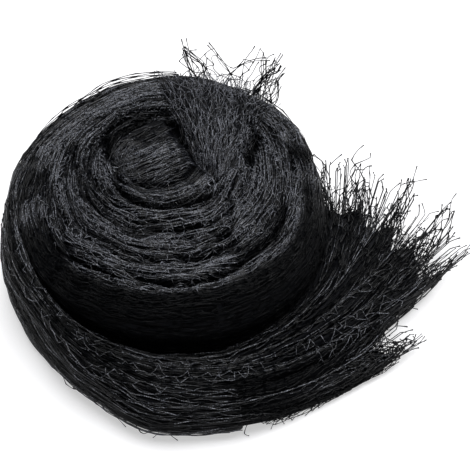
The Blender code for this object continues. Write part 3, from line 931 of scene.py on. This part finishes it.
def paintedRunShade(place, share):
    # painted shade: pale on the bundles that stand highest, dark between them and towards the roll
    return np.clip(0.62 + 1.9 * bunchAt(place, (share - turnShare) / (1.0 - turnShare)), 0.04, 1.7)


def runPly(random, rows, lift, stray, gather):
    # strands that run from the front of the outer turn through to the tips
    across, along, high = netSides(rows, runBars, random, stray=stray, slip=0.15, sag=stray, gather=gather)
    share = along / runBars
    wave = 0.035 * wander(across / rows * 3.0, share * 5.0, 1.0, 4.2)
    loose = 1.0 + 1.0 * smooth(0.85, 1.0, share)
    # no hard edge where the ply begins, nor where it frays
    shown = (share.min(axis=1) > 0.10 * random.random(len(share)))
    shown &= share.max(axis=1) < 1.0 - 0.16 * random.random(len(share)) ** 1.5
    # strands gather into bunches that run the whole way
    place = across / rows + wave
    waves = 2 * math.pi * outerEnd["bunches"]
    place = place + 0.85 / waves * np.sin(waves * place)
    spots = layOn(outerRun, place, share, 0.0008 + lift * high * loose)
    return spots[shown], high[shown], paintedRunShade(place, share)[shown]


def fanPly(random, rows, level, lift, furthest):
    bars = int(round(fanPlies["length"] / twine["side"]))
    across, along, high = netSides(rows, bars, random, stray=0.4, slip=0.15, sag=0.6)
    spots = outerEndAt(across / rows, np.clip(along / bars, 0.0, None) * furthest, level)
    loose = 1.0 + 2.0 * smooth(0.7, 1.0, along / bars)
    spots[..., 2] += lift * high * loose
    begun = along.min(axis=1) / bars > 0.08 + 0.15 * random.random(len(along))
    return spots[begun], high[begun]


runPlies = {
    "columns": ("rows", "lift", "stray", "gather", "keep", "gain"),
    "rows": ((104, 0.0014, 0.25, 0.00, 0.95, 0.25), (72, 0.0024, 0.30, 0.70, 0.90, 0.95)),
    "seed": 71,
}
random = np.random.default_rng(runPlies["seed"])
collected, tones = [], []
for ply in rowsOf(runPlies):
    laid = runPly(random, ply["rows"], ply["lift"], ply["stray"], ply["gather"])
    paths, high, tone = thinned(random, ply["keep"], *laid)
    collected.append(paths)
    # painted shade: the lower ply is painted darker by its gain, and the strands between the bundles darker
    tones.append(shadesOf(random, high, ply["gain"]) * tone)
paths, shades = np.concatenate(collected), np.concatenate(tones)
paths[..., 2] = np.maximum(paths[..., 2], outerEnd["floorGap"])
runNet = threadMesh("outerRunNet", paths, thicknessOf(random, len(paths)), shades, shadedTwine)

# the plies inside and under the fan, then the frayed meshes of its fringe, which are drawn a little
# thicker because they show against the floor
fanPlies = {
    "columns": ("rows", "level", "lift", "furthest"),
    "rows": ((84, 0.87, 0.0024, 0.90), (60, 0.45, 0.0024, 0.90), (46, 0.06, 0.0018, 0.88)),
    "length": 0.335, "keep": 0.92, "gain": 0.35,
}
fringe = {
    "columns": ("rows", "level", "furthest"),
    "rows": (
        (54, 1.00, 1.03), (56, 0.85, 1.00), (60, 0.60, 0.97), (62, 0.30, 0.94),
        (92, 0.95, 0.92), (86, 0.50, 0.91), (76, 0.10, 0.89),  # the dense ones behind
    ),
    "barLength": 0.046, "from": 0.62, "lift": 0.004, "keep": 0.86, "thick": 1.45, "peakShare": 0.12,
}


def fringePly(random, rows, level, furthest):
    bars = int((furthest - fringe["from"]) / fringe["barLength"]) + 1
    across, along, high = netSides(rows, bars, random, stray=0.5, slip=0.22, sag=0.3)
    share = fringe["from"] + fringe["barLength"] * along
    place = across / rows
    spots = outerEndAt(place, share, level)
    spots[..., 2] += fringe["lift"] * high
    end = furthest - fringe["peakShare"] * dipAt(place.mean(axis=1))
    shown = share.max(axis=1) < end + 0.035 * random.normal(0.0, 1.0, len(share))
    return spots[shown], high[shown]


collected, tones, sizes = [], [], []
for ply in rowsOf(fanPlies) + rowsOf(fringe):
    inFringe = "lift" not in ply
    makePly, kind, thick = (fringePly, fringe, fringe["thick"]) if inFringe else (fanPly, fanPlies, 1.0)
    paths, high = thinned(random, kind["keep"], *makePly(random, **ply))
    collected.append(paths)
    tones.append(shadesOf(random, high, fanPlies["gain"]))
    sizes.append(thicknessOf(random, len(paths)) * thick)

# open mesh along the floor edge of the outer turn and the fan. Out on the turn it is tucked in more.
floorEdge = {"rows": 3, "from": 0.08, "length": 0.68, "bars": 1.4, "rowWidth": 0.0034,
             "tuckedIn": 0.007, "moreOnTurn": 0.005, "climb": 0.012, "keep": 0.55, "gain": 0.4}
edgeBars = int(floorEdge["bars"] * runBars)
across, along, high = netSides(floorEdge["rows"], edgeBars, random, stray=0.25, slip=0.1, sag=0.2, slide=0.0)
share = floorEdge["from"] + floorEdge["length"] * along / edgeBars
rimLine = layOn(outerRun, 0.0 * share, share, 0.0 * share)
outwards = rimLine - layOn(outerRun, 0.0 * share + 0.06, share, 0.0 * share)
outwards[..., 2] = 0.0
outwards /= np.maximum(np.linalg.norm(outwards, axis=2, keepdims=True), 1e-9)
tuckedIn = floorEdge["tuckedIn"] + floorEdge["moreOnTurn"] * smooth(0.50, 0.36, share)
spots = rimLine + outwards * (floorEdge["rowWidth"] * across - tuckedIn)[..., None]
spots[..., 2] = 0.0015 + 0.004 * high * (1.0 - across / 4.0) + floorEdge["climb"] * smooth(3.0, 0.0, across)
patches = floorEdge["keep"] + wander(along[:, 0], 0.0 * along[:, 0], 4.0)
shown = random.random(len(spots)) < np.clip(patches, 0.0, 1.0)
collected.append(spots[shown])
tones.append(shadesOf(random, high[shown], floorEdge["gain"]))
sizes.append(thicknessOf(random, shown.sum()))
paths, shades = np.concatenate(collected), np.concatenate(tones)
paths[..., 2] = np.maximum(paths[..., 2], outerEnd["floorGap"])
fanNet = threadMesh("outerEndNet", paths, np.concatenate(sizes), shades, shadedTwine)

# Open meshes that lie over the dark strands in bands, pulled nearly square. begin and end are
# shares of the whole run.
openMesh = {
    "columns": ("place", "begin", "end", "rows"),
    "rows": (
        (0.66, 0.10, 0.48, 2), (0.50, 0.26, 0.56, 2), (0.44, 0.60, 0.84, 4),
        (0.30, 0.08, 0.40, 2), (0.62, 0.68, 0.86, 3), (0.34, 0.66, 0.84, 3),
    ),
    "cell": 0.0085, "off": 0.0028, "lift": 0.0018, "keep": 0.7, "wide": 0.070, "narrow": 0.026, "seed": 83,
}
random = np.random.default_rng(openMesh["seed"])
collected = []
for row in rowsOf(openMesh):
    stretch = row["end"] - row["begin"]
    bars = int(stretch * runLength / openMesh["cell"])
    across, along, high = netSides(row["rows"], bars, random, stray=0.25, slip=0.25, sag=0.25, slide=0.0)
    share = row["begin"] + stretch * along / bars
    room = openMesh["wide"] + (openMesh["narrow"] - openMesh["wide"]) * smooth(0.4, 0.7, share)
    place = row["place"] + (across - 0.5 * row["rows"]) * room + 0.03 * wander(share * 9.0, row["place"], 1.0)
    spots = layOn(outerRun, place, share, openMesh["off"] + openMesh["lift"] * high)
    collected.append(spots[random.random(len(spots)) < openMesh["keep"]])
paths = np.concatenate(collected)
openNet = threadMesh("openMesh", paths, thicknessOf(random, len(paths)),
                     0.30 + 0.50 * random.random(paths.shape[:2]), shadedTwine)

# single strands that stray past the tips of the fan
strays = {"count": 84, "length": 0.019, "thick": 1.5, "points": 9, "seed": 89}


def strayStrands():
    random = np.random.default_rng(strays["seed"])
    made = []
    for _ in range(strays["count"]):
        place = random.uniform(0.06, 1.0)
        near = outerEndAt(np.array([place]), np.array([0.80]))[0]
        tip = outerEndAt(np.array([place]), np.array([0.97]))[0]
        ahead = (tip - near) / np.linalg.norm(tip - near)
        reach = strays["length"] * random.uniform(0.25, 1.0)
        aside = np.cross(ahead, (0.0, 0.0, 1.0)) * random.normal(0.0, 0.22)
        rise = np.array([0.0, 0.0, random.uniform(-0.1, 0.45)])
        corners = [near, tip, tip + (ahead + aside * 0.5 + rise * 0.5) * reach * 0.5,
                   tip + (ahead + aside * 1.6 + rise) * reach]
        made.append(smoothPath(corners, strays["points"]))
    paths = np.stack(made)
    paths[..., 2] = np.maximum(paths[..., 2], outerEnd["floorGap"])
    high = random.random(paths.shape[:2])
    return threadMesh("outerEndStrays", paths, thicknessOf(random, len(paths)) * strays["thick"],
                      shadesOf(random, high, 0.5), shadedTwine)


strayPiece = strayStrands()

# The inner end, left to right. It leaves the nest at start, crosses the rim at over, and its
# tufts end at tip
innerEnd = {
    "place": (0.00, 0.25, 0.50, 0.75, 1.00),
    "startX": (36, 44, 52, 60, 68),
    "startY": (2, -12, -20, -24, -22),
    "overX": (-12, 22, 56, 88, 116),
    "overY": (108, 112, 109, 95, 69),
    "bodyTo": 0.88, "thick": 0.005, "sheetThick": 0.0012, "seed": 91,
}
toMetres(innerEnd, "startX", "startY", "overX", "overY")


def innerEndAt(place, along):
    place = np.clip(place, 0.0, 1.0)
    startX, startY, overX, overY = (readColumn(innerEnd, "place", name, place)
                                    for name in ("startX", "startY", "overX", "overY"))
    x, y = axisX + startX + (overX - startX) * along, axisY + startY + (overY - startY) * along
    fold = 0.5 + 0.5 * np.cos(2 * math.pi * (3.4 * place + 0.5 * along))
    edges = smooth(0.0, 0.06, place) * smooth(1.0, 0.90, place) * smooth(0.0, 0.10, along)
    z = topUnder(x, y) + 0.0012 + innerEnd["thick"] * (0.5 + 0.5 * fold) * edges
    z += 0.002 * wander(place * 9.0, along * 3.0, 1.0, 6.1) * edges
    return np.stack([x, y, z], axis=-1)


place = np.linspace(0.0, 1.0, 71)[:, None] + np.zeros((1, 61))
along = np.linspace(0.0, innerEnd["bodyTo"], 61)[None, :] + np.zeros((71, 1))
flapPoints = innerEndAt(place, along)
flapPoints[..., 2] -= 0.001
flapSheet = makeSheet("innerEndPly", flapPoints, innerEnd["sheetThick"],
                      "packedInnerEndTwine")
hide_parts("inner_end")

flapPlies = {
    "columns": ("rows", "bars", "skew", "lift", "keep", "gain"),
    "rows": (
        (80, 8, 0.00, 0.0014, 1.00, 0.4),
        (58, 9, 0.22, 0.0022, 0.80, 1.0),
        (50, 9, -0.22, 0.0030, 0.70, 1.5),
        (30, 10, 0.52, 0.0036, 0.60, 2.3),
        (30, 10, -0.50, 0.0040, 0.60, 2.6),
    ),
    "thick": 0.75,
}
random = np.random.default_rng(innerEnd["seed"])
collected, tones = [], []
for ply in rowsOf(flapPlies):
    across, along, high = netSides(ply["rows"], ply["bars"], random, stray=0.45, slip=0.2, sag=0.4)
    share = along / ply["bars"]
    place = across / ply["rows"] + ply["skew"] * (share - 0.5)
    spots = innerEndAt(place, share)
    spots[..., 2] += ply["lift"] * high
    within = (place.min(axis=1) > -0.01) & (place.max(axis=1) < 1.01)
    spots, high = thinned(random, ply["keep"], spots[within], high[within])
    collected.append(spots)
    # painted light: the higher plies are painted paler by their gain
    tones.append(shadesOf(random, high, ply["gain"]))
paths, shades = np.concatenate(collected), np.concatenate(tones)
flapNet = threadMesh("innerEndNet", paths, thicknessOf(random, len(paths)) * flapPlies["thick"], shades,
                     litTwine)

# The tufts past the back rim: how many strands, where along the rim they begin and end, how far
# they stand off it in millimetres, how far they bow aside and how much they stray
tufts = {
    "columns": ("strands", "begin", "end", "height", "bow", "stray"),
    "lean": (0.0, 0.60, 0.80), "points": 10, "radius": 0.00047, "root": -10, "rimLength": 0.112, "seed": 97,
    "rows": (
        (7, 0.36, 0.25, 38, -0.01, 0.014),  # the left tuft
        (6, 0.44, 0.28, 31, 0.02, 0.020),
        (5, 0.40, 0.33, 16, 0.00, 0.040),
        (2, 0.66, 0.42, 36, 0.04, 0.008),  # long strands that cross between the tufts
        (2, 0.53, 0.92, 56, -0.05, 0.010),
        (2, 0.70, 0.80, 47, -0.02, 0.016),
        (15, 0.77, 1.01, 57, -0.02, 0.024),  # the rope on the right
        (9, 0.84, 0.92, 46, -0.01, 0.034),
        (9, 0.90, 1.00, 34, 0.01, 0.028),
    ),
    # the open meshes that hang between them, by their top edge
    "meshPlace": (0.22, 0.34, 0.45, 0.60, 0.72, 0.86, 0.98),
    "meshTop": (32, 25, 32, 13, 25, 44, 50),
    "meshRows": 12, "meshBars": 4, "meshKeep": 0.85,
}


def tuftSpot(place, height):
    # past either end of the rim line a strand goes on sideways
    within = np.clip(place, 0.0, 1.0)
    spots = innerEndAt(within, np.ones_like(within))
    spots[..., 0] += tufts["rimLength"] * (place - within)
    lean = np.array(tufts["lean"]) / np.linalg.norm(tufts["lean"])
    return spots + lean * height[..., None] / 1000.0


def makeTufts():
    random = np.random.default_rng(tufts["seed"])
    t = np.linspace(0.0, 1.0, tufts["points"])
    made = []
    for tuft in rowsOf(tufts):
        for _ in range(tuft["strands"]):
            begin, end = random.normal((tuft["begin"], tuft["end"]), tuft["stray"])
            curl = random.normal(0.0, 0.5) * tuft["stray"] * np.sin(2.5 * math.pi * t)
            place = begin + (end - begin) * t + tuft["bow"] * np.sin(math.pi * t) + curl
            rise = (tuft["height"] - tufts["root"]) * random.uniform(0.65, 1.0) * t
            made.append(tuftSpot(place, tufts["root"] + rise))
    across, along, high = netSides(tufts["meshRows"], tufts["meshBars"], random, stray=0.3, slip=0.25,
                                   sag=0.25, slide=0.3)
    across, along = thinned(random, tufts["meshKeep"], across, along)
    first, last = tufts["meshPlace"][0], tufts["meshPlace"][-1]
    place = first + (last - first) * across / tufts["meshRows"]
    height = readColumn(tufts, "meshPlace", "meshTop", place) * along / tufts["meshBars"]
    for side in tuftSpot(place, height):
        made.append(smoothPath(side, tufts["points"]))
    paths = np.stack(made)
    thickness = tufts["radius"] * random.uniform(0.75, 1.15, len(paths))
    high = random.random(paths.shape[:2])
    return threadMesh("innerEndTufts", paths, thickness, shadesOf(random, high, 0.3), shadedTwine)


tuftPiece = makeTufts()

# open meshes that stand off the rim, by their angles round the axis
rimMesh = {
    "columns": ("begin", "end", "rows", "off"),
    "rows": ((78, 142, 4, 0.0044), (120, 172, 3, 0.0028), (12, 56, 4, 0.0042)),
    "crestPart": 4.38, "thick": 1.4, "seed": 101,
}
random = np.random.default_rng(rimMesh["seed"])
collected = []
for row in rowsOf(rimMesh):
    stretch, rows = row["end"] - row["begin"], row["rows"]
    span = math.radians(stretch) * float(turnsAt(0.5 * (row["begin"] + row["end"]), "rim"))
    bars = max(3, int(span / twine["side"]))
    across, along, high = netSides(rows, bars, random, stray=0.25, slip=0.1, sag=0.3, gather=0.45)
    angle = row["begin"] + stretch * along / bars
    fade = np.sin(math.pi * np.clip(along / bars, 0, 1)) ** 0.5
    crest = layOn(wound, rollRow(angle), rollColumn(rimMesh["crestPart"] + 0.0 * angle), 0.0 * angle)
    turn = np.radians(angle)
    outwards = np.stack([np.cos(turn), np.sin(turn), 1.1 + 0.0 * turn], axis=2)
    collected.append(crest + outwards * (row["off"] * fade * (0.3 + across / rows * 1.2))[..., None])
paths = np.concatenate(collected)
threadMesh("rimMesh", paths, thicknessOf(random, len(paths)) * rimMesh["thick"],
           shadesOf(random, random.random(paths.shape[:2]), 0.4), shadedTwine)

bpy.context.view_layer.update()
made = [piece for piece in bpy.data.objects if piece.type == "MESH" and piece.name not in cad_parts]
triangles = {piece.name: sum(len(face.vertices) - 2 for face in piece.data.polygons) for piece in made}
print("triangles", sum(triangles.values()), triangles)
